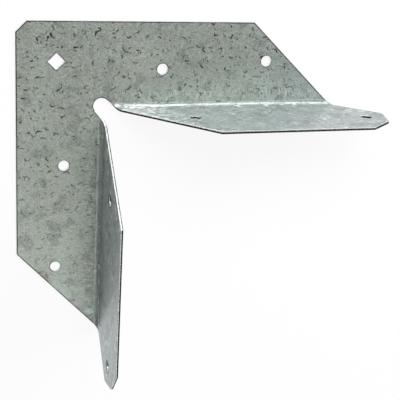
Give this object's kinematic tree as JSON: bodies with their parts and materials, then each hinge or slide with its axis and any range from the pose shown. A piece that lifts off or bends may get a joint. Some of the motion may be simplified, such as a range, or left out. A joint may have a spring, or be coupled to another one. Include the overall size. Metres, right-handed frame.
{
  "type": "corner brace bracket",
  "caption": "Folded sheet corner brace: an L-shaped plate with an upright flange along the inner edge of each arm, a relief slot at the inside corner and clearance holes for screws.",
  "frame": {"origin": "on the plane of the plate's back, under the middle of the bounding box", "axes": "+Z out of the plate on the side that the flanges stand; one arm along +X, the other along -Y, the plate's outer corner at -X +Y"},
  "size_m": [0.2432, 0.2432, 0.06],
  "materials": {
    "galvanised_sheet": "hot-dip galvanised, dull grey with small dark flecks"
  },
  "bodies": {
    "root": {"corner_brace": "galvanised_sheet"}
  },
  "joints": []
}
